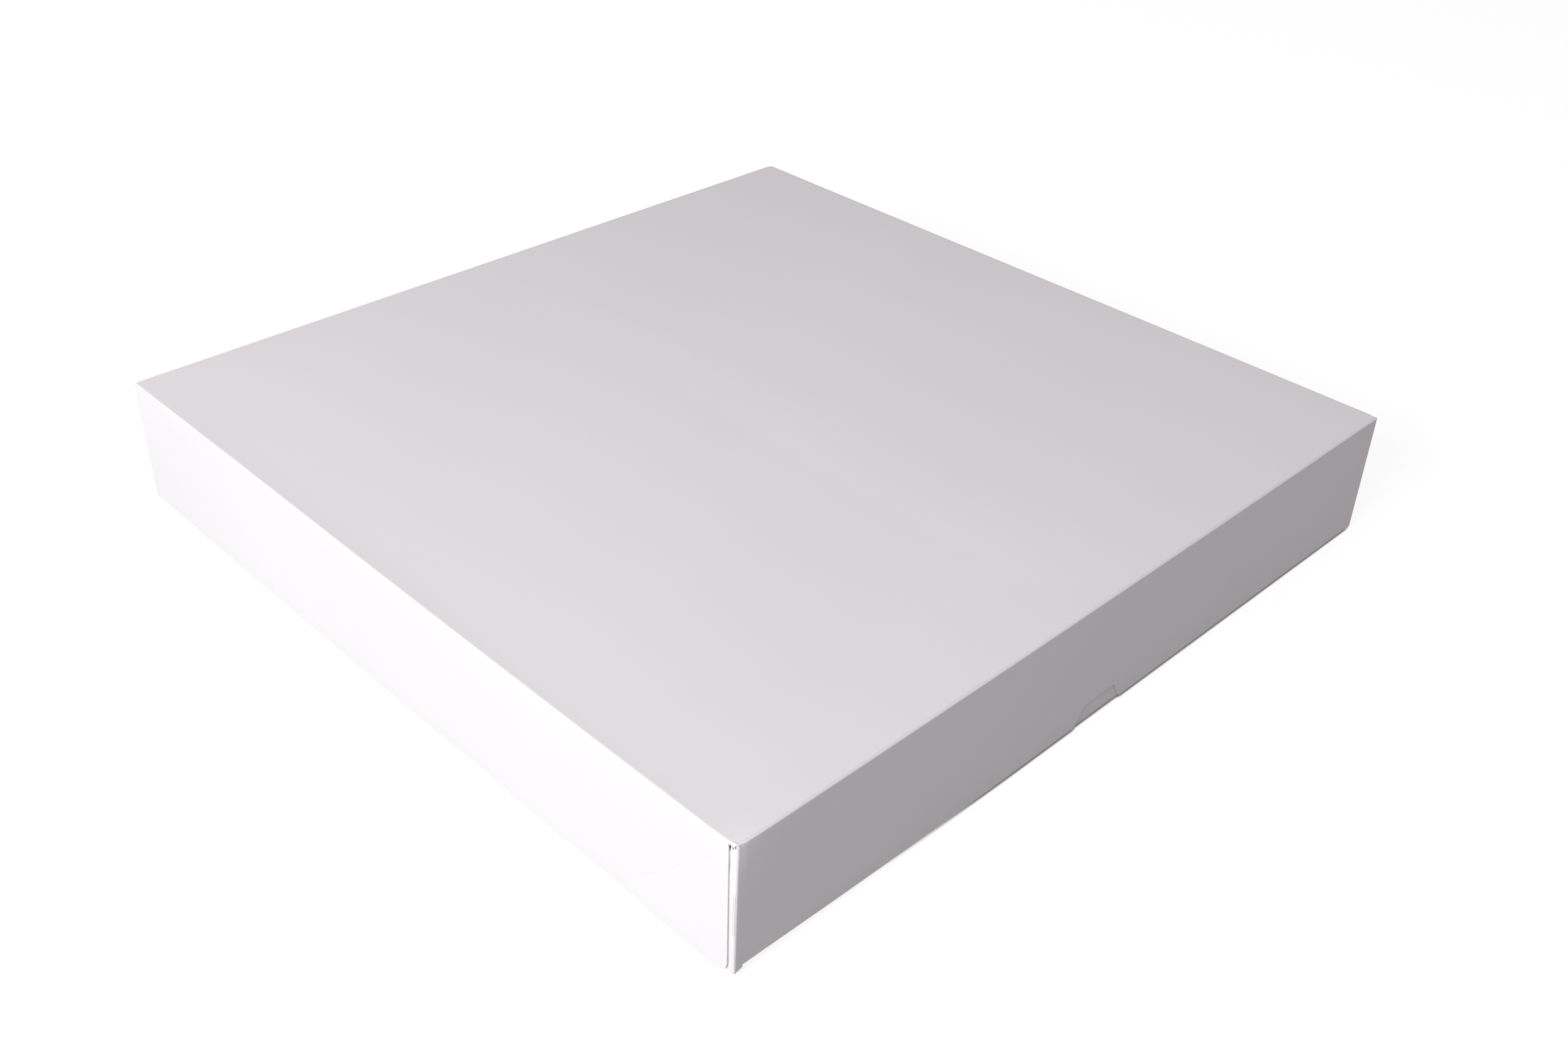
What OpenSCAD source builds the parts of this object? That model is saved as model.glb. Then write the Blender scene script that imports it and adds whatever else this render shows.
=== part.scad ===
// Flat square cake box, folded and glued from one blank of white board.
// The tray stands on its floor. The lid turns on the crease along the tray's back wall,
// and its front and side walls close over the outside of the tray.
// Front is -Y, the hinge crease is at +Y, and the floor lies on Z = 0.

/* [Box] */
// Clear width between the tray's side walls
inside_w = 328; // [220:1:420]
// Clear depth between the tray's front and back walls
inside_d = 328; // [220:1:420]
// Height over all with the lid shut
box_h = 50; // [40:1:90]

/* [Board] */
// Thickness of the board
board = 0.5; // [0.4:0.05:0.7]
// Outside radius of the folds
fold_r = 1.2; // [1:0.1:2]

/* [Fit of the lid] */
// Play between the lid's glue tabs and the tray's side walls
side_gap = 1.5; // [0.2:0.1:2]
// Play between the lid's front wall and the tray's front wall
front_gap = 0.5; // [0.3:0.1:1]
// Play between the lid's top and the rim of the tray
top_gap = 0.3; // [0.2:0.1:1]
// Height of the lid's lower edge above the table
skirt_lift = 1.2; // [0.6:0.1:3]
// Play between the hinge bead and the tray's back wall below it
hinge_gap = 0.15; // [0.12:0.01:0.4]

/* [Glued corners] */
// How far a side wall stops short of the corner fold
set_back = 3.2; // [2.5:0.1:5]
// Radius of the free corners of the side walls
free_corner_r = 4; // [1:0.5:8]
// Length of a glue tab, from the corner fold to its end
tab_len = 32; // [20:1:34]
// Radius of the free corner of a glue tab
tab_corner_r = 3; // [1:0.5:5]
// Distance between a glue tab and the diagonal crease beside it
tab_clear = 2.5; // [1.5:0.1:4]
// Length of the slit cut through the middle of each corner fold
corner_slit = 15; // [5:1:20]
// Width of the opening that the corner slit leaves inside
slit_open = 0.1; // [0.05:0.05:0.2]

/* [Perforated diagonals] */
// Length of one cut of the perforation
perf_cut = 2; // [1:0.1:3]
// Length of board left between two cuts
perf_tie = 1.9; // [1:0.1:3]
// Width of a cut
perf_w = 0.2; // [0.15:0.05:0.4]
// Length of fold or wall left uncut at each end of a diagonal
perf_end = 0.8; // [0.6:0.1:4]

/* [Thumb notch] */
// Width of the notch at the lid's lower edge
notch_low_w = 25; // [20:1:40]
// Width of the notch at its top
notch_top_w = 16.5; // [10:0.5:18]
// Height of the notch
notch_h = 7; // [5:0.5:12]
// Radius of the notch's two upper corners
notch_r = 2.5; // [1:0.5:3]

/* [Back ends of the lid] */
// Length of fold cut away at the back ends of the lid's side folds
end_relief = 2; // [1:0.5:4]
// Radius of the lower back corners of the lid's side walls
back_corner_r = 1; // [0.5:0.5:4]

/* [Hidden] */
$fn = 48;
coated_white = [0.94, 0.93, 0.94];
tray_white = [0.88, 0.87, 0.86];
past = 1; // how far a cut runs past the surface that it opens
notch_steps = 6; // straight steps round each inner corner of the notch

tray_w = inside_w + 2 * board;
tray_d = inside_d + 2 * board;
lid_w = tray_w + 2 * (side_gap + 2 * board);
box_d = tray_d + front_gap + board;
back_y = box_d / 2;
front_y = -box_d / 2;
tray_front_y = back_y - tray_d;

// The lid's crease thickens to a round bead, and the lid turns about the bead's centre
bead_r = board;
bead_len = inside_w;
hinge_y = back_y - bead_r;

tray_rim = box_h - board - top_gap;
back_rim = box_h - 2 * bead_r - hinge_gap;
lid_wall = box_h - skirt_lift;

// A rectangle that stands on the X axis, with its two lower corners rounded
module cup_outline(w, h, r) {
    translate([-w / 2 + r, 0]) square([w - 2 * r, h]);
    translate([-w / 2, r]) square([w, h - r]);
    for (side = [-1, 1]) translate([side * (w / 2 - r), r]) circle(r);
}

// What is trimmed off a square corner at the origin, between +X and +Y, to round it
module corner_trim(r) {
    difference() {
        translate([-past, -past]) square(r + past);
        translate([r, r]) circle(r);
    }
}

// A profile drawn in (y, z) and run along X
module along_x(len) {
    rotate([90, 0, 90]) linear_extrude(len, center = true) children();
}

// A profile drawn in (x, z) and run along Y
module along_y(len) {
    rotate([90, 0, 0]) linear_extrude(len, center = true) children();
}

// Floor and side walls folded up from one sheet, from y0 to y1. The floor lies on Z = 0.
module side_walls(w, y0, y1, h) {
    translate([0, (y0 + y1) / 2, 0])
        along_y(y1 - y0)
            difference() {
                cup_outline(w, h, fold_r);
                translate([0, board]) cup_outline(w - 2 * board, h, fold_r - board);
            }
}

// A block with round front corners and a round lower front edge. Its front is on Y = 0.
module folded_block(w, d, h, r) {
    intersection() {
        linear_extrude(h) cup_outline(w, d, r);
        along_x(w) translate([d, 0]) cup_outline(2 * d, h, r);
    }
}

// What is cut away around a glue tab, in (y, z). The tab keeps clear of the diagonal, and
// its free corner is round.
module tab_cut(h) {
    rise = tab_clear * sqrt(2);
    end = tab_len + past;
    polygon([[0, board], [end, board], [end, end + rise], [0, rise]]);
    translate([tab_len, h]) rotate(180) corner_trim(tab_corner_r);
}

// An end wall with its floor fold, its two corner folds and the two glue tabs that lie
// against the inside of the side walls. The outer face of the wall is on Y = 0.
module end_wall(w, h) {
    outer_w = w - 2 * board;
    slit_reach = fold_r - (fold_r - board) / sqrt(2) + slit_open;
    difference() {
        folded_block(outer_w, tab_len, h, fold_r);
        translate([0, board, board])
            folded_block(outer_w - 2 * board, tab_len, h, fold_r - board);
        for (side = [-1, 1]) {
            translate([side * (outer_w + past - board) / 2, 0, 0])
                along_x(board + past) tab_cut(h);
            translate([side * outer_w / 2, 0, h / 2])
                cube([2 * slit_reach, 2 * slit_reach, corner_slit], center = true);
        }
    }
}

// The cuts of one perforated diagonal, which climbs at 45 degrees from the corner of the
// box. The end wall is on Y = 0, and the wall that is cut is centred on X = 0.
module diagonal_cuts(h) {
    start = set_back + perf_end;
    room = (h - perf_end - start) * sqrt(2);
    pitch = perf_cut + perf_tie;
    count = floor((room + perf_tie) / pitch);
    spare = room + perf_tie - count * pitch;
    first = start * sqrt(2) + (spare + perf_cut) / 2;
    rotate([45, 0, 0])
        for (i = [0 : count - 1])
            translate([0, first + i * pitch, 0])
                cube([board + past, perf_cut, perf_w], center = true);
}

// What is cut from both side walls next to an end wall on Y = 0: the round free corners
// and the diagonals
module glued_end_cuts(w, h) {
    for (side = [-1, 1])
        translate([side * (w - board) / 2, 0, 0]) {
            translate([0, set_back, h])
                along_x(board + past) mirror([0, 1]) corner_trim(free_corner_r);
            diagonal_cuts(h);
        }
}

// The thumb notch below z = 0, with its two inner corners rounded
module notch_outline() {
    low = notch_low_w / 2;
    top = notch_top_w / 2;
    lean = atan((low - top) / notch_h);
    centre = [top - notch_r * tan(45 - lean / 2), notch_r - notch_h];
    arc = [for (i = [0 : notch_steps])
        let (turn = lean + i * (90 - lean) / notch_steps)
        centre + notch_r * [cos(turn), -sin(turn)]];
    right = concat([[low, past], [low, 0]], arc);
    left = [for (i = [len(right) - 1 : -1 : 0]) [-right[i][0], right[i][1]]];
    polygon(concat(right, left));
}

// What is cut from the lid along its hinge crease: the top ends on the bead, and the side
// folds and side walls stop short of it. The lid stands upside down here.
module hinge_end_cuts() {
    translate([-lid_w, hinge_y, -past]) cube([2 * lid_w, box_d, past + board]);
    for (side = [-1, 1]) {
        translate([side * lid_w / 2, back_y, 0])
            cube([lid_w - bead_len, 2 * end_relief, 2 * end_relief], center = true);
        translate([side * (lid_w - board) / 2, back_y, lid_wall])
            along_x(board + past) rotate(180) corner_trim(back_corner_r);
    }
}

module tray() {
    color(tray_white) {
        difference() {
            side_walls(tray_w, tray_front_y + set_back, back_y - set_back, tray_rim);
            translate([0, tray_front_y, 0]) glued_end_cuts(tray_w, tray_rim);
            translate([0, back_y, 0]) mirror([0, 1, 0]) glued_end_cuts(tray_w, tray_rim);
        }
        translate([0, tray_front_y, 0]) end_wall(tray_w, tray_rim);
        translate([0, back_y, 0]) mirror([0, 1, 0]) end_wall(tray_w, back_rim);
    }
}

// The lid is folded like the tray, but turned over, and with walls on three sides only
module lid() {
    color(coated_white)
        translate([0, 0, box_h])
            mirror([0, 0, 1]) {
                difference() {
                    side_walls(lid_w, front_y + set_back, back_y, lid_wall);
                    translate([0, front_y, 0]) glued_end_cuts(lid_w, lid_wall);
                    hinge_end_cuts();
                }
                difference() {
                    translate([0, front_y, 0]) end_wall(lid_w, lid_wall);
                    translate([0, front_y, lid_wall])
                        along_y(2 * (board + past)) notch_outline();
                }
                translate([0, hinge_y, bead_r])
                    rotate([0, 90, 0]) cylinder(r = bead_r, h = bead_len, center = true);
            }
}

tray();
lid();
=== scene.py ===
import math

import bmesh
import bpy
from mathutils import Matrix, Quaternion, Vector


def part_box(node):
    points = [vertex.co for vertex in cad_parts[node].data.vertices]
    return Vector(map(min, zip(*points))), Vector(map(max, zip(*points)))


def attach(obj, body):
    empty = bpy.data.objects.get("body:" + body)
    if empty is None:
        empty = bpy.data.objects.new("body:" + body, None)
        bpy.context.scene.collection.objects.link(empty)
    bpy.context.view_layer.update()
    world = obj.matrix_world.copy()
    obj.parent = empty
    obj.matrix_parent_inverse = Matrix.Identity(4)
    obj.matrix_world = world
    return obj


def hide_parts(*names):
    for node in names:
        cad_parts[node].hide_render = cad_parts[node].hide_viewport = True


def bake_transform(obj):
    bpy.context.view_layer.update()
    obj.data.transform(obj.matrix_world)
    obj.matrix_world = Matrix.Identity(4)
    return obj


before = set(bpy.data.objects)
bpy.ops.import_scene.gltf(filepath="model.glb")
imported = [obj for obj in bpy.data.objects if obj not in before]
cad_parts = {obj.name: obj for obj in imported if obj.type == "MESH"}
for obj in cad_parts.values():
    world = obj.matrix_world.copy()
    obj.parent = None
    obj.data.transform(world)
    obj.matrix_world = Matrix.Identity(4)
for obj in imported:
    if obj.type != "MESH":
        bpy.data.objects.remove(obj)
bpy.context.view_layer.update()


# Tray
# The lower half of the box: a floor and four walls of half-millimetre solid bleached board,
# clay-coated outside and plain inside. It is folded up from one sheet with the lid, and its end
# walls' tabs are glued behind the side walls, whose perforated diagonals let it fold flat.
mm = 0.001
board = 0.5 * mm
tray_low, tray_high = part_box("tray")
tray_w = tray_high.x - tray_low.x
tray_wall = tray_high.z

# The back wall ends just under the hinge crease, and the front wall stands close behind the
# lid's front wall
under_crease = 0.2 * mm
front_forward = 0.4 * mm
tray_ends = {
    -1: (tray_low.y - front_forward, tray_wall),
    1: (tray_high.y, tray_wall - under_crease),
}

# Finishes of the board: coated face, cut edge and plain reverse, which share a surface group


def board_surface_group():
    """Cloudy tone, fibre mottle, scuffed scores, painted shade along the walls' lower edges and
    fine bump of a paperboard face.
    """
    tree = bpy.data.node_groups.new("board_surface", "ShaderNodeTree")
    for name, kind, value in (
        ("Paper", "NodeSocketColor", (0.86, 0.85, 0.86, 1)),
        ("Mottle", "NodeSocketColor", (0.82, 0.81, 0.81, 1)),
        ("Scuff", "NodeSocketColor", (0.75, 0.68, 0.62, 1)),
        ("Cloud", "NodeSocketFloat", 0.3),
        ("Fibre Size", "NodeSocketFloat", 1100.0),
        ("Gloss", "NodeSocketFloat", 0.5),
        ("Relief", "NodeSocketFloat", 0.1),
    ):
        socket = tree.interface.new_socket(name, in_out="INPUT", socket_type=kind)
        socket.default_value = value
    for name, kind in (
        ("Color", "NodeSocketColor"),
        ("Roughness", "NodeSocketFloat"),
        ("Normal", "NodeSocketVector"),
    ):
        tree.interface.new_socket(name, in_out="OUTPUT", socket_type=kind)
    nodes, link = tree.nodes, tree.links.new
    inlet = nodes.new("NodeGroupInput")
    outlet = nodes.new("NodeGroupOutput")
    place = nodes.new("ShaderNodeTexCoord")

    def speckle(scale, detail, rough):
        made = nodes.new("ShaderNodeTexNoise")
        made.inputs["Scale"].default_value = scale
        made.inputs["Detail"].default_value = detail
        made.inputs["Roughness"].default_value = rough
        link(place.outputs["Object"], made.inputs["Vector"])
        return made

    def ramp(source, low, high):
        made = nodes.new("ShaderNodeMapRange")
        made.inputs["From Min"].default_value = low
        made.inputs["From Max"].default_value = high
        link(source, made.inputs["Value"])
        return made.outputs["Result"]

    def times(one, other):
        made = nodes.new("ShaderNodeMath")
        made.operation = "MULTIPLY"
        link(one, made.inputs[0])
        link(other, made.inputs[1])
        return made.outputs["Value"]

    def blend(amount, under, over):
        made = nodes.new("ShaderNodeMix")
        made.data_type = "RGBA"
        link(amount, made.inputs["Factor"])
        link(under, made.inputs["A"])
        link(over, made.inputs["B"])
        return made.outputs["Result"]

    clouds = speckle(14.0, 2.0, 0.5)
    flecks = speckle(1.0, 3.0, 0.6)
    link(inlet.outputs["Fibre Size"], flecks.inputs["Scale"])
    cloudy = times(ramp(clouds.outputs["Fac"], 0.35, 0.7), inlet.outputs["Cloud"])
    flecked = times(ramp(flecks.outputs["Fac"], 0.45, 0.75), inlet.outputs["Cloud"])
    tone = blend(cloudy, inlet.outputs["Paper"], inlet.outputs["Mottle"])
    tone = blend(flecked, tone, inlet.outputs["Mottle"])

    scored = nodes.new("ShaderNodeAttribute")
    scored.attribute_name = "score"
    patches = speckle(60.0, 3.0, 0.6)
    # The score mask colours the scores as scuffs, and the side walls' lower edges as painted
    # shade
    mark_strength = times(ramp(patches.outputs["Fac"], 0.34, 0.54), ramp(scored.outputs["Fac"], 0.3, 1.0))
    link(blend(mark_strength, tone, inlet.outputs["Scuff"]), outlet.inputs["Color"])

    dull = nodes.new("ShaderNodeMath")
    dull.operation = "MULTIPLY_ADD"
    link(flecks.outputs["Fac"], dull.inputs[0])
    dull.inputs[1].default_value = 0.12
    link(inlet.outputs["Gloss"], dull.inputs[2])
    link(dull.outputs["Value"], outlet.inputs["Roughness"])

    bump = nodes.new("ShaderNodeBump")
    bump.inputs["Distance"].default_value = 0.02 * mm
    link(inlet.outputs["Relief"], bump.inputs["Strength"])
    link(flecks.outputs["Fac"], bump.inputs["Height"])
    link(bump.outputs["Normal"], outlet.inputs["Normal"])
    return tree


board_surface = board_surface_group()


def board_finish(name, sheen, **values):
    """A material of paperboard: the surface group with its own colours, in its own shader."""
    material = bpy.data.materials.new(name)
    material.use_nodes = True
    nodes, link = material.node_tree.nodes, material.node_tree.links.new
    shader = nodes["Principled BSDF"]
    shader.inputs["Specular IOR Level"].default_value = sheen
    surface = nodes.new("ShaderNodeGroup")
    surface.node_tree = board_surface
    for socket, value in values.items():
        surface.inputs[socket.replace("_", " ")].default_value = value
    link(surface.outputs["Color"], shader.inputs["Base Color"])
    link(surface.outputs["Roughness"], shader.inputs["Roughness"])
    link(surface.outputs["Normal"], shader.inputs["Normal"])
    return material


coated_face = board_finish(
    "coated_face", 0.35,
    Paper=(0.880, 0.847, 0.867, 1), Mottle=(0.852, 0.820, 0.840, 1),
    Scuff=(0.72, 0.70, 0.68, 1), Cloud=0.5, Fibre_Size=1300.0, Gloss=0.46, Relief=0.10,
)
cut_edge = board_finish(
    "cut_edge", 0.15,
    Paper=(0.86, 0.81, 0.79, 1), Mottle=(0.78, 0.71, 0.68, 1),
    Scuff=(0.70, 0.63, 0.60, 1), Cloud=0.6, Fibre_Size=3500.0, Gloss=0.8, Relief=0.5,
)
plain_reverse = board_finish(
    "plain_reverse", 0.15,
    Paper=(0.80, 0.775, 0.745, 1), Mottle=(0.73, 0.70, 0.66, 1),
    Scuff=(0.70, 0.63, 0.56, 1), Cloud=0.7, Fibre_Size=800.0, Gloss=0.78, Relief=0.4,
)


# The tray's blank is cut flat, scored where it folds, punched, folded up round the scores and
# glued. The functions here do the same to a mesh of the board's outer face.
fold_r = 0.8 * mm
arc = fold_r * math.pi / 2

# Rows of faces round a fold and over the rest, and how near counts as touching
fold_steps = 6
near_row = 0.2 * mm
far_row = 0.5 * mm
panel_rows = (-6 * mm, -2.5 * mm)
grid = 11 * mm
touch = 0.001 * mm

# Glued corners: how far a side wall stops short of the corner fold, the tabs, and the lip that
# is left round the open corner, as points beyond the side fold and past the end wall's crease
set_back = 3.2 * mm
free_corner_r = 4 * mm
tab_len = 32 * mm
tab_corner_r = 3 * mm
lip = 3.2 * mm
open_lip = ((0.8 * mm, fold_r - set_back), (1.2 * mm, -0.4 * mm), (1.5 * mm, 1.4 * mm),
            (lip, 5.6 * mm))
shut_lip = ((1.0 * mm, fold_r - set_back), (1.6 * mm, -0.8 * mm), (2.25 * mm, 1.4 * mm),
            (lip, 5.2 * mm))

# The slit through each corner fold: two fine cuts, a little off the middle of the fold
slit_len = 15.4 * mm
slit_cuts = (0.87 * mm, 1.47 * mm)
slit_drop = 1.8 * mm
slit_w = 0.14 * mm
slit_end = 0.2 * mm
slit_depth = 0.16 * mm
corner_zone = 20 * mm

# The perforated diagonals: cuts, the board left between them, and where they stop short
perf_cut = 2 * mm
perf_tie = 1.9 * mm
perf_w = 0.02 * mm
perf_end = 0.8 * mm

# Scuffed scores, which are worn most towards the back of the side folds, painted shade along the
# side walls' lower edges, and rubbed cut edges
score_w = 0.16 * mm
score_depth = 0.05 * mm
least_worn = 0.4
worn_from = 40 * mm
worn_run = 80 * mm
shaded_hem = 0.35 * mm
hem_shade = 0.9
edge_rub = 0.05 * mm


def score(bm, point, normal, among=None):
    """Divides the flat blank along a line, over the faces whose middles pass the test."""
    faces = [f for f in bm.faces if among is None or among(f.calc_center_median())]
    edges = {e for f in faces for e in f.edges}
    verts = {v for f in faces for v in f.verts}
    bmesh.ops.bisect_plane(bm, geom=[*faces, *edges, *verts], dist=touch / 10,
                           plane_co=(*point, 0), plane_no=(*normal, 0))


def inside(middle, sides):
    """Whether a place on the blank is on the inner hand of every side."""
    return all((middle.xy - Vector(p)).dot(Vector(n)) < touch for p, n in sides)


def punch(bm, sides, among=None):
    """Takes a shape with no hollow side out of the flat blank. Each side is a point on it and
    the direction that leads out of the shape."""
    for i, (point, normal) in enumerate(sides):
        score(bm, point, normal, lambda c: (among is None or among(c)) and inside(c, sides[:i]))
    waste = [f for f in bm.faces
             if (among is None or among(f.calc_center_median()))
             and inside(f.calc_center_median(), sides)]
    bmesh.ops.delete(bm, geom=waste, context="FACES")


def extend(bm, axis, at, low, high, reach):
    """Adds board beyond the blank's edges that lie on x or y = at, between low and high."""
    other = 1 - axis
    edges = [e for e in bm.edges if e.is_boundary and all(
        abs(v.co[axis] - at) < touch and low - touch < v.co[other] < high + touch
        for v in e.verts)]
    made = bmesh.ops.extrude_edge_only(bm, edges=edges)["geom"]
    step = [0, 0, 0]
    step[axis] = reach
    verts = [g for g in made if isinstance(g, bmesh.types.BMVert)]
    bmesh.ops.translate(bm, verts=verts, vec=step)


def round_corner(bm, x, y, radius):
    """Rounds the blank's corner that is nearest to x, y."""
    corner = min(bm.verts, key=lambda v: (v.co.xy - Vector((x, y))).length)
    bmesh.ops.bevel(bm, geom=[corner], offset=radius, offset_type="OFFSET", segments=7,
                    profile=0.5, affect="VERTICES", material=-1)


def box_blank(width, side_h, ends, far_edge=None, crushed=None):
    """The flat blank of a tray or lid. ends holds, for -1 or 1 along Y, where the outer face
    of that end wall stands and how high it is. far_edge is where a blank with one end stops,
    and crushed is the hand of a corner that is crushed shut."""
    side = width / 2 - fold_r
    crease = {way: y - way * fold_r for way, (y, h) in ends.items()}
    stop = {way: y - way * set_back for way, (y, h) in ends.items()}
    back = crease.get(1, far_edge)
    bm = bmesh.new()
    corners = [(-side, crease[-1]), (side, crease[-1]), (side, back), (-side, back)]
    bm.faces.new([bm.verts.new((x, y, 0)) for x, y in corners])
    for y in stop.values():
        score(bm, (0, y), (0, 1))
    side_end = side + arc + side_h - fold_r
    for hand in (-1, 1):
        extend(bm, 0, hand * side, stop[-1], stop.get(1, far_edge), hand * (side_end - side))
        for y in stop.values():
            round_corner(bm, hand * side_end, y, free_corner_r)
    for way, (y, height) in ends.items():
        wall_end = crease[way] + way * (arc + height - fold_r)
        low, high = sorted((stop[way], wall_end))
        extend(bm, 1, crease[way], -side, side, wall_end - crease[way])
        for hand in (-1, 1):
            tab_end = side + arc + tab_len - fold_r
            extend(bm, 0, hand * side, low, high, hand * lip)
            extend(bm, 0, hand * (side + lip), low, high, hand * (tab_end - side - lip))
            round_corner(bm, hand * tab_end, wall_end, tab_corner_r)
            outline = shut_lip if hand == crushed else open_lip
            shape_tab(bm, side, hand, way, crease[way], outline)
            score_slit(bm, side, hand, way, crease[way], height)
            punch_diagonal(bm, side, hand, way, y, side_h)
    return bm


def shape_tab(bm, side, hand, way, crease, outline):
    """Trims a glue tab along the diagonal, and the board at its root to the lip's outline."""

    def beyond(c):
        return hand * c.x > side + lip and way * (c.y - crease) > -set_back

    def on_lip(c):
        return side < hand * c.x < side + lip and way * (c.y - crease) > fold_r - set_back

    def corner(point):
        return hand * (side + point[0]), crease + way * point[1]

    punch(bm, [(corner(outline[-1]), (-hand, way))], beyond)
    for a, b in zip(outline, outline[1:]):
        run, rise = b[0] - a[0], b[1] - a[1]
        punch(bm, [(corner(a), (-hand * rise, way * run))], on_lip)


def score_slit(bm, side, hand, way, crease, height):
    """The slit through a corner fold: two fine cuts with white board between."""
    middle = crease + way * (arc - fold_r + height / 2 + slit_drop)
    low, high = middle - slit_len / 2, middle + slit_len / 2
    deep = bm.verts.layers.float.get("slit") or bm.verts.layers.float.new("slit")

    def near_fold(c):
        return way * (c.y - crease) > 0 and hand * c.x > side - corner_zone

    def in_slit(c):
        return near_fold(c) and low < c.y < high

    for y in (low, low + slit_end, high - slit_end, high):
        score(bm, (0, y), (0, 1), near_fold)
    for cut in slit_cuts:
        line = hand * (side - board + cut)
        for x in (line - slit_w / 2, line, line + slit_w / 2):
            score(bm, (x, 0), (1, 0), in_slit)
        for face in bm.faces:
            c = face.calc_center_median()
            if in_slit(c) and abs(c.x - line) < slit_w / 2:
                face.material_index = 1
        for v in bm.verts:
            if abs(v.co.x - line) < touch and low + touch < v.co.y < high - touch:
                v[deep] = 1.0


def punch_diagonal(bm, side, hand, way, end_y, wall_h):
    """The perforation that climbs across a side wall from the corner of the box."""
    origin = Vector((hand * (side + arc - fold_r), end_y))
    along = Vector((hand, -way)).normalized()
    across = Vector((hand, way)).normalized()
    first = (set_back + perf_end) * math.sqrt(2)
    last = (wall_h - perf_end) * math.sqrt(2)
    pitch = perf_cut + perf_tie
    count = int((last - first + perf_tie) / pitch)
    spare = last - first + perf_tie - count * pitch
    for i in range(count):
        low = origin + along * (first + spare / 2 + i * pitch)
        high = low + along * perf_cut
        punch(bm, [
            (origin - across * perf_w / 2, -across),
            (origin + across * perf_w / 2, across),
            (low, -along),
            (high, along),
        ], lambda c: hand * c.x > side and way * (c.y - end_y) < -set_back)


def score_folds(bm, width, ends):
    """Scores the rows of faces that the folds and hems need, and a plain grid over the rest."""
    side = width / 2 - fold_r
    hem = side + arc + ends[-1][1] - fold_r - shaded_hem
    rows = [-far_row, -near_row, 0.0, near_row]
    rows += [arc * k / fold_steps for k in range(1, fold_steps)]
    rows += [arc - near_row, arc, arc + near_row, arc + far_row]
    for way, (y, h) in ends.items():
        crease = y - way * fold_r
        for row in rows:
            score(bm, (0, crease + way * row), (0, 1))
            for hand in (-1, 1):
                score(bm, (hand * (side - board + row), 0), (1, 0),
                      lambda c: way * (c.y - crease) > 0)
    low = ends[-1][0] + fold_r
    high = ends[1][0] - fold_r if 1 in ends else math.inf
    for hand in (-1, 1):
        for row in [*panel_rows, *rows, hem - side]:
            score(bm, (hand * (side + row), 0), (1, 0), lambda c: low < c.y < high)
    reach = max(abs(v.co[k]) for v in bm.verts for k in (0, 1))
    steps = int(reach / grid)
    for k in range(-steps, steps + 1):
        score(bm, (k * grid, 0), (1, 0))
        score(bm, (0, k * grid), (0, 1))


def ease(t):
    """0 up to 0, 1 from 1 on, and a smooth way between."""
    t = min(max(t, 0.0), 1.0)
    return t * t * (3 - 2 * t)


def fold_up(bm, width, ends, base, up, settle):
    """Folds the flat blank round its creases and lets its panels settle. base is the height
    of the main panel's outer face, and up is 1 for walls that rise and -1 for walls that hang."""
    side = width / 2 - fold_r
    groove = bm.verts.layers.float.new("score")
    for v in bm.verts:
        x, y = abs(v.co.x), v.co.y
        hand = math.copysign(1, v.co.x)
        past = {way: way * (y - (end_y - way * fold_r)) for way, (end_y, h) in ends.items()}
        way = max(past, key=past.get)
        run = past[way]
        crease = ends[way][0] - way * fold_r
        line = side - board * ease(run / arc)
        over = x - line
        depth = 0.0
        if over > 0:
            turn = min(over / fold_r, math.pi / 2)
            x = line + fold_r * math.sin(turn)
            depth = fold_r * (1 - math.cos(turn)) + max(over - arc, 0)
        rise = depth
        if run > 0:
            turn = min(run / fold_r, math.pi / 2)
            y = crease + way * (fold_r - depth) * math.sin(turn)
            rise = fold_r - (fold_r - depth) * math.cos(turn) + max(run - arc, 0)
        part = ("tab" if over > 0 else "end") if run > 0 else ("side" if over > 0 else "panel")
        v.co = (hand * x, y, base + up * rise)
        v.co += settle(part, v.co)
        mark_strength = least_worn + (1 - least_worn) * ease((y - worn_from) / worn_run)
        marks = [(over, mark_strength), (over - arc, mark_strength)]
        marks += [(run, 1), (run - arc, 1)] if over < arc / 2 else []
        if run < 0:
            # Painted shade along the side walls' lower edges, carried by the score mark
            marks.append((max(ends[-1][1] - depth, 0) / 2, hem_shade))
        v[groove] = max(deep * math.exp(-(m / score_w) ** 2) for m, deep in marks)
    if up > 0:
        bmesh.ops.reverse_faces(bm, faces=bm.faces[:])
    bm.normal_update()
    deep = bm.verts.layers.float.get("slit")
    for v in bm.verts:
        v.co -= v.normal * (v[groove] * score_depth + v[deep] * slit_depth)
    for face in bm.faces:
        face.smooth = True


def board_piece(name, bm):
    """Turns a mesh of the board's outer face into a piece, with the board's thickness."""
    mesh = bpy.data.meshes.new(name)
    bm.to_mesh(mesh)
    bm.free()
    for material in (coated_face, cut_edge, plain_reverse):
        mesh.materials.append(material)
    piece = bpy.data.objects.new(name, mesh)
    bpy.context.collection.objects.link(piece)
    shell = piece.modifiers.new("thickness", "SOLIDIFY")
    shell.thickness = board
    shell.offset = -1
    shell.material_offset = 2
    shell.material_offset_rim = 1
    return piece


def rub_edges(piece):
    """Takes the sharpness off the board's cut edges."""
    rub = piece.modifiers.new("rubbed_edges", "BEVEL")
    rub.width = edge_rub
    rub.segments = 2
    rub.limit_method = "ANGLE"
    rub.angle_limit = math.radians(50)
    rub.harden_normals = True


# How far lid and rim are pressed down, and where that fades. The near corner stands highest.
lid_low, lid_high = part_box("lid")
most_pressed = 0.7 * mm
front_half = 150 * mm
left_middle = -30 * mm
left_half = 125 * mm
press_fade = 300 * mm
corner_fall = 0.12 * mm
corner_fade = 45 * mm
crease_holds = 50 * mm

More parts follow.
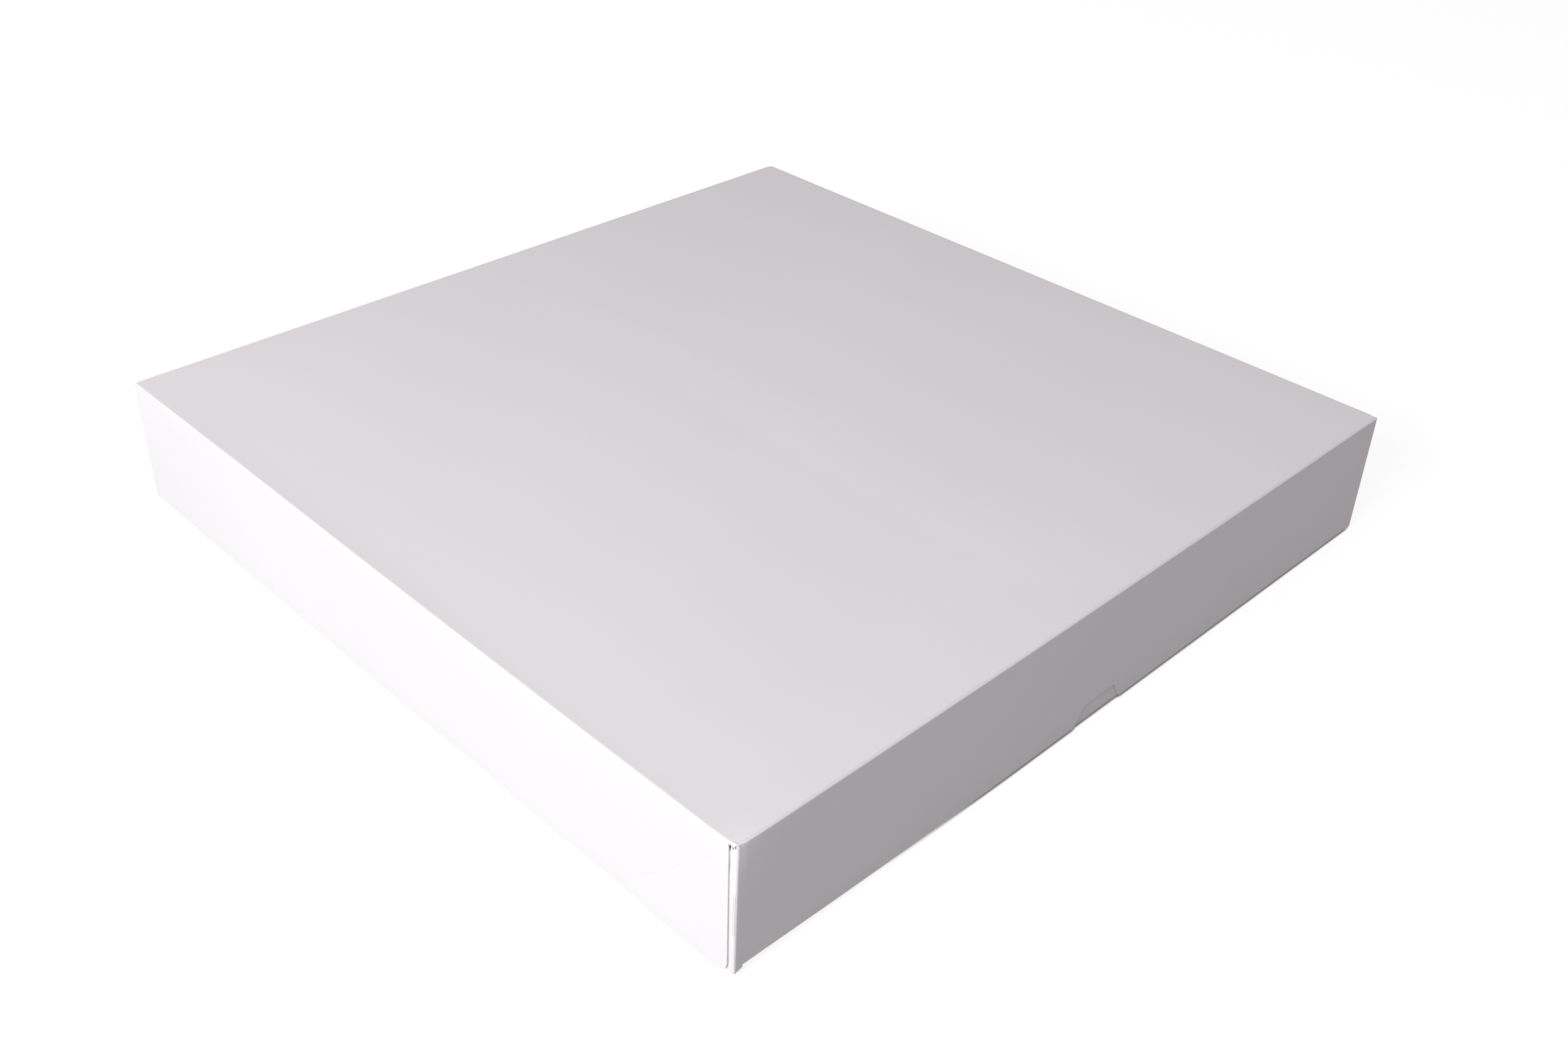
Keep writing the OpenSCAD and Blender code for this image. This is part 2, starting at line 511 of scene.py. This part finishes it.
# How far the foot of the near corner is pushed in, and where that fades
pushed_from = -50 * mm
pushed_run = 110 * mm
pushed_fade = 25 * mm
tray_pushed = 1.9 * mm

# How far the middle of the tray's side walls leans in at the rim
rim_lean = 0.5 * mm


def pressed(x, y):
    """How far the lid's top and the rim below it have sunk."""
    towards_left = ease(0.5 - x / press_fade)
    towards_front = ease((lid_high.y - y) / press_fade)
    front_line = max(0, 1 - (x / front_half) ** 2) * towards_front
    left_line = max(0, 1 - ((y - left_middle) / left_half) ** 2) * towards_left
    sunk = most_pressed * (1 - (1 - front_line) * (1 - left_line))
    corner = math.hypot(x - lid_low.x, y - lid_low.y) / corner_fade
    sunk += corner_fall * (1 - math.exp(-corner)) * towards_left
    return -sunk * ease((lid_high.y - y) / crease_holds)


def near_left_end(x):
    """How near a place on the front wall is to the near corner, from 0 to 1."""
    return min(max((pushed_from - x) / pushed_run, 0), 1)


def pushed_in(at, most):
    """How far the foot of the near corner has been pushed back, by the place on the box."""
    behind = math.exp(-(at.y - lid_low.y) / pushed_fade)
    return most * near_left_end(at.x) * behind * (1 - at.z / lid_high.z)


def settle_tray(part, at):
    """The rim gives way under the lid, and the side walls lean in between their corners."""
    lift = at.z / tray_wall
    shift = Vector((0, pushed_in(at, tray_pushed), pressed(at.x, at.y) * lift))
    if part == "side":
        middle = (tray_low.y + tray_high.y) / 2
        swell = max(0, 1 - ((at.y - middle) / (tray_w / 2 - tab_len)) ** 2)
        shift.x = -math.copysign(rim_lean * swell * ease(lift), at.x)
    return shift


tray_bm = box_blank(tray_w, tray_wall, tray_ends)
score_folds(tray_bm, tray_w, tray_ends)
fold_up(tray_bm, tray_w, tray_ends, tray_low.z, 1, settle_tray)
tray_board = board_piece("tray_board", tray_bm)
rub_edges(tray_board)
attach(tray_board, "tray")
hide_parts("tray")


# Lid
# The upper half, folded from the same sheet but with walls on three sides, and glued at its
# two front corners. Its front wall has a thumb notch, its side walls spread a little towards
# their lower edges, its near corner is crushed and the ends of its side folds are torn.
lid_spread = 0.6 * mm
lid_w = lid_high.x - lid_low.x - 2 * lid_spread
lid_wall = lid_high.z - lid_low.z
lid_ends = {-1: (lid_low.y, lid_wall)}

# Thumb notch
notch_low_w = 25 * mm
notch_top_w = 16.5 * mm
notch_h = 7 * mm
notch_r = 2.5 * mm
notch_steps = 6

# Back ends, where the side folds are open beside the hinge crease
crease_r = 1 * mm
relief = 1.3 * mm
open_beside = 0.4 * mm
back_slope = 1 * mm

# The front wall's lower edge, in millimetres. It hangs down a little, and ends short towards
# the near corner.
front_drop = 0.3
left_short = 2.0

# The feet at both ends of that edge: where they start, how short the left one is at its inner
# side and how much it slopes, and how far the right one hangs down, the last three in millimetres
foot_x = 162.6 * mm
foot_step = 0.15 * mm
foot_short = 0.7
foot_slope = 0.8
right_foot_drop = 0.6

# Torn spots at the ends of the side folds, where bare board shows
tear_front = lid_low.y + set_back + 0.6 * mm
tear_back = lid_high.y - relief - 1.6 * mm
tear_in = 0.1 * mm
tear_out = 1.2 * mm


def punch_notch(bm):
    """The thumb notch in the middle of the front wall's lower edge."""
    wall_end = lid_low.y + fold_r - arc - lid_wall + fold_r
    lean = math.atan2((notch_low_w - notch_top_w) / 2, notch_h)
    centre_x = notch_top_w / 2 - notch_r * math.tan(math.pi / 4 - lean / 2)
    centre_y = wall_end + notch_h - notch_r
    sides = []
    for hand in (-1, 1):
        for k in range(notch_steps + 1):
            turn = lean + (math.pi / 2 - lean) * (notch_steps - k) / notch_steps
            out = Vector((hand * math.cos(turn), math.sin(turn)))
            sides.append((Vector((hand * centre_x, centre_y)) + out * notch_r, out))
    punch(bm, sides, lambda c: c.y < lid_low.y and abs(c.x) < lid_w / 2 - fold_r)


def punch_back_ends(bm):
    """The top stops at the hinge crease, and the side folds are open beside it."""
    side = lid_w / 2 - fold_r
    tip = side - open_beside
    wall = side + arc + open_beside
    punch(bm, [((0, lid_high.y - crease_r), (0, -1)), ((tip, 0), (1, 0)), ((-tip, 0), (-1, 0))],
          lambda c: abs(c.x) < side)
    for hand in (-1, 1):
        punch(bm, [
            ((0, lid_high.y - relief), (0, -1)),
            ((hand * tip, 0), (-hand, 0)),
            ((hand * wall, 0), (hand, 0)),
        ])
        length = lid_wall - fold_r
        low_end = (hand * (side + arc), lid_high.y - back_slope)
        punch(bm, [(low_end, (hand * back_slope, -length))], lambda c: hand * c.x > wall)


def along_curve(points, u):
    """The height at u of a smooth curve through the points."""
    for (u0, a), (u1, b) in zip(points, points[1:]):
        if u < u1:
            return a + (b - a) * ease((u - u0) / (u1 - u0))
    return points[-1][1]


# How far the left wall's lower edge stands out and hangs down, in millimetres, by distance
# from the front, and how far the right wall's hangs down
left_spread = ((3, 0.15), (12, 0.30), (28, 0.58), (44, 0.30), (61, 0.06), (80, 0.55),
               (99, 0.50), (118, 0.30), (139, 0.50), (162, 0.60), (233, 0.60), (259, 0.50),
               (286, 0.30), (315, 0.10), (330, 0.0))
left_drop = ((3, 1.10), (28, 1.13), (44, 0.60), (61, 0.60), (80, 0.98), (99, 0.96),
             (118, 0.70), (139, 0.76), (162, 1.15), (184, 1.15), (208, 1.0), (330, 1.15))
right_drop = 0.6

# Where the strip begins that hangs with a lower edge, as a share of the wall's height
hem_from = 0.75

# How far the right fold stands out towards the front, and the spread at the left corner
right_wide = 0.5 * mm
wide_from = 150 * mm
wide_run = 260 * mm
left_corner_spread = 0.05 * mm

# The side walls' kink along the diagonal, and the lean of their free edge to the corner
kink = 0.12 * mm
kink_w = 2.5 * mm
kink_run = 10 * mm
edge_lean = 0.45 * mm
edge_lean_run = 10 * mm

# The glued corners: the right one flares, the left tab is slack and the left corner crushed
flare = 0.45 * mm
flare_w = 4 * mm
flare_run = 2 * mm
tab_slack = 0.20 * mm
slack_from = 3 * mm
slack_run = 20 * mm
tab_drop = 0.1 * mm
crush = 1.3 * mm
crush_r = 3.6 * mm
crush_way = Vector((0.7, 0.65, -0.2))

# The top's dish beside the left fold, which fades at both ends
dish = 0.32 * mm
dish_w = 6 * mm
dish_from = 3 * mm
dish_run = 14 * mm
dish_back_run = 60 * mm

# How far the foot of the near corner is pushed in on the lid
lid_pushed = 0.54 * mm


def settle_lid(part, at):
    """The top sinks, the walls spread, the front wall's left end hangs short and leans in, the
    right corner flares and the left corner is crushed."""
    hand = math.copysign(1, at.x)
    u = at.y - lid_low.y
    drop = lid_high.z - at.z
    hang = min(max(drop / lid_wall, 0), 1)
    hem = ease((hang - hem_from) / (1 - hem_from))
    out = abs(at.x) / (lid_w / 2)
    wide = right_wide * ease((wide_from - at.y) / wide_run) if hand > 0 else 0
    shift = Vector((wide * out ** 4, 0, pressed(at.x, at.y) * (1 - hang)))
    corner_spread = left_corner_spread if hand < 0 else lid_spread - wide
    if part == "side":
        spread = along_curve(left_spread, u / mm) * mm if hand < 0 else lid_spread - wide
        kinked = kink * math.exp(-abs(u - drop) / kink_w) * ease(u / kink_run)
        shift.x += hand * (spread * hang - kinked)
        shift.y -= edge_lean * (0.5 + 0.5 * hang) * math.exp(-(u - set_back) / edge_lean_run)
        shift.z -= (along_curve(left_drop, u / mm) if hand < 0 else right_drop) * mm * hem
    else:
        shift.y += pushed_in(at, lid_pushed)
    if part != "side" and hand > 0:
        from_corner = lid_w / 2 - abs(at.x)
        flared = math.exp(-(from_corner / flare_w) ** 2 - (u / flare_run) ** 2)
        shift.x += flare * flared * hang
    if part == "tab":
        slack = tab_slack * ease((u - slack_from) / slack_run) if hand < 0 else 0
        shift.x += hand * (corner_spread + slack) * hang
        shift.z -= tab_drop * hem
    if part == "panel" and hand < 0:
        from_fold = lid_w / 2 - fold_r - abs(at.x)
        dished = ease((u - dish_from) / dish_run) * ease((lid_high.y - at.y) / dish_back_run)
        shift.z -= dish * dished * (1 - math.exp(-from_fold / dish_w))
    if part == "end":
        shift.x += hand * corner_spread * hang * out
        foot = abs(at.x) > foot_x + foot_step / 2
        tip = foot_short - foot_slope * (abs(at.x) - foot_x) / (lid_w / 2 - foot_x)
        short = left_short * near_left_end(at.x) ** 2 - front_drop
        if foot:
            short = tip if hand < 0 else -right_foot_drop
        shift.z += short * mm * hem
    if hand < 0:
        corner = Vector((board - lid_w / 2, lid_low.y, lid_high.z))
        reach = (at - corner).length
        shift += crush * math.exp(-(reach / crush_r) ** 2) * crush_way
    return shift


def bare_torn_spots(bm):
    """Gives the faces at the torn ends of the side folds the look of a cut edge."""
    for face in bm.faces:
        middle = face.calc_center_median()
        across = abs(middle.x) - (lid_w / 2 - fold_r)
        torn = lid_low.y + set_back < middle.y < tear_front or middle.y > tear_back
        if torn and tear_in < across < tear_out:
            face.material_index = 1


lid_bm = box_blank(lid_w, lid_wall, lid_ends, far_edge=lid_high.y, crushed=-1)
for foot_line in (foot_x, foot_x + foot_step, -foot_x, -foot_x - foot_step):
    score(lid_bm, (foot_line, 0), (1, 0), lambda c: c.y < lid_low.y)
punch_notch(lid_bm)
punch_back_ends(lid_bm)
for tear in (tear_front, tear_back):
    score(lid_bm, (0, tear), (0, 1), lambda c: abs(c.x) > lid_w / 2 - fold_r)
score_folds(lid_bm, lid_w, lid_ends)
bare_torn_spots(lid_bm)
fold_up(lid_bm, lid_w, lid_ends, lid_high.z, -1, settle_lid)
lid_board = board_piece("lid_board", lid_bm)
rub_edges(lid_board)
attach(lid_board, "lid")
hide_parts("lid")


# Hinge crease
# The one fold of the real box that moves: the board runs on from the tray's back wall over the
# crease into the lid's top, and it bends there when the lid is lifted. Here it is a fixed quarter
# turn of board in its shut place, on neither body.
crease_steps = 8


def crease_face(half, centre):
    """The outer face of the crease: a line along the tray's back wall, spun up to the top."""
    bm = bmesh.new()
    ends = [bm.verts.new(centre + Vector((hand * half, crease_r, 0))) for hand in (-1, 1)]
    edge = bm.edges.new(ends)
    bmesh.ops.spin(bm, geom=[*ends, edge], cent=centre, axis=(1, 0, 0), dvec=(0, 0, 0),
                   angle=math.pi / 2, steps=crease_steps, use_duplicate=False)
    bmesh.ops.recalc_face_normals(bm, faces=bm.faces[:])
    if bm.faces[0].normal.dot(bm.faces[0].calc_center_median() - centre) < 0:
        bmesh.ops.reverse_faces(bm, faces=bm.faces[:])
    for face in bm.faces:
        face.smooth = True
    return bm


crease_centre = Vector((0, lid_high.y - crease_r, lid_high.z - crease_r))
hinge_crease = board_piece("hinge_crease", crease_face(tray_w / 2 - board, crease_centre))
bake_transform(hinge_crease)


# Floor
# A plain pale ground that keeps the box's soft shadow, with a painted contact shadow under the
# front wall. What the camera sees of it is nearly white, and what it throws back on the box is
# dimmer.
floor_half = 4.0
floor_drop = 0.02 * mm
floor_glow = 0.85

# The painted contact shadow, a dark line on the floor: its glow, how near the wall above has to
# be, between which shares of open sky it fades out, and between which places along the front wall
# it fades in
painted_shadow_glow = 0.09
contact_reach = 1.5 * mm
covered_sky = 0.54
clear_sky = 0.76
line_from = -0.14
line_full = -0.06


def pale_ground():
    """A dim floor that glows white to the camera, but for a fine dark line of painted contact
    shadow close under the front wall, which fades in from the near corner."""
    material = bpy.data.materials.new("pale_ground")
    material.use_nodes = True
    nodes, link = material.node_tree.nodes, material.node_tree.links.new
    nodes.clear()

    def combined(operation, one, other):
        made = nodes.new("ShaderNodeMath")
        made.operation = operation
        link(one, made.inputs[0])
        link(other, made.inputs[1])
        return made.outputs["Value"]

    def ramp(source, low, high, start, end):
        made = nodes.new("ShaderNodeMapRange")
        made.inputs["From Min"].default_value = low
        made.inputs["From Max"].default_value = high
        made.inputs["To Min"].default_value = start
        made.inputs["To Max"].default_value = end
        link(source, made.inputs["Value"])
        return made.outputs["Result"]

    paint = nodes.new("ShaderNodeBsdfDiffuse")
    paint.inputs["Color"].default_value = (0.28, 0.271, 0.276, 1)
    glow = nodes.new("ShaderNodeEmission")
    glow.inputs["Color"].default_value = (1, 1, 1, 1)
    seen = nodes.new("ShaderNodeLightPath")
    direct = combined("MAXIMUM", seen.outputs["Is Camera Ray"], seen.outputs["Is Glossy Ray"])
    clear = combined("MAXIMUM", direct, seen.outputs["Is Transmission Ray"])
    # Painted contact shadow: the glow dims where ambient occlusion finds the wall close above
    covered = nodes.new("ShaderNodeAmbientOcclusion")
    covered.samples = 8
    covered.inputs["Distance"].default_value = contact_reach
    open_sky = ramp(covered.outputs["AO"], covered_sky, clear_sky, painted_shadow_glow, floor_glow)
    place = nodes.new("ShaderNodeTexCoord")
    across = nodes.new("ShaderNodeSeparateXYZ")
    link(place.outputs["Object"], across.inputs["Vector"])
    painted_shadow_mask = ramp(across.outputs["X"], line_from, line_full, 0, 1)
    strength = nodes.new("ShaderNodeMix")
    strength.inputs["A"].default_value = floor_glow
    link(painted_shadow_mask, strength.inputs["Factor"])
    link(open_sky, strength.inputs["B"])
    level = combined("MULTIPLY", clear, strength.outputs["Result"])
    link(level, glow.inputs["Strength"])
    both = nodes.new("ShaderNodeAddShader")
    link(paint.outputs["BSDF"], both.inputs[0])
    link(glow.outputs["Emission"], both.inputs[1])
    out = nodes.new("ShaderNodeOutputMaterial")
    link(both.outputs["Shader"], out.inputs["Surface"])
    return material


def ground():
    """A square sheet just under the box, which is part of the stage and not of the box."""
    bm = bmesh.new()
    bmesh.ops.create_grid(bm, x_segments=1, y_segments=1, size=floor_half)
    bmesh.ops.translate(bm, verts=bm.verts, vec=(0, 0, -floor_drop))
    mesh = bpy.data.meshes.new("floor")
    bm.to_mesh(mesh)
    bm.free()
    mesh.materials.append(pale_ground())
    floor = bpy.data.objects.new("floor", mesh)
    bpy.context.collection.objects.link(floor)


ground()


# Light
# One large soft lamp low on the left, which makes the side wall the brightest face, and an
# even pale room all round.
def studio():
    lamp = bpy.data.lights.new("window", "AREA")
    lamp.shape = "RECTANGLE"
    lamp.size = 0.9
    lamp.size_y = 0.6
    lamp.energy = 19.1
    lamp.color = (0.965, 1, 0.99)
    holder = bpy.data.objects.new("window", lamp)
    holder.location = (-1.32, -0.12, 0.74)
    aim = Vector((0, 0, 0.02)) - holder.location
    holder.rotation_euler = aim.to_track_quat("-Z", "Y").to_euler()
    bpy.context.collection.objects.link(holder)
    room = bpy.data.worlds.new("room")
    room.use_nodes = True
    nodes, link = room.node_tree.nodes, room.node_tree.links.new
    nodes["Background"].inputs["Color"].default_value = (1, 0.95, 0.98, 1)
    seen = nodes.new("ShaderNodeLightPath")
    level = nodes.new("ShaderNodeMix")
    level.inputs["A"].default_value = 0.415
    level.inputs["B"].default_value = 1.06
    link(seen.outputs["Is Camera Ray"], level.inputs["Factor"])
    link(level.outputs["Result"], nodes["Background"].inputs["Strength"])
    bpy.context.scene.world = room


studio()


# Camera
# The photograph's own view: from above the near corner, slightly rolled.
def photograph_view():
    eye = bpy.data.cameras.new("photograph")
    eye.sensor_fit = "HORIZONTAL"
    eye.sensor_width = 36
    eye.lens = 37.892
    eye.clip_start = 0.02
    eye.clip_end = 20
    holder = bpy.data.objects.new("photograph", eye)
    holder.location = (-0.37974, -0.38580, 0.35815)
    look = Vector((0.59423, 0.57929, -0.55795))
    roll = math.radians(2.1156)
    turn = look.to_track_quat("-Z", "Y") @ Quaternion((0, 0, 1), roll)
    holder.rotation_mode = "QUATERNION"
    holder.rotation_quaternion = turn
    bpy.context.collection.objects.link(holder)
    bpy.context.scene.camera = holder


photograph_view()
bpy.context.scene.view_settings.view_transform = "Standard"
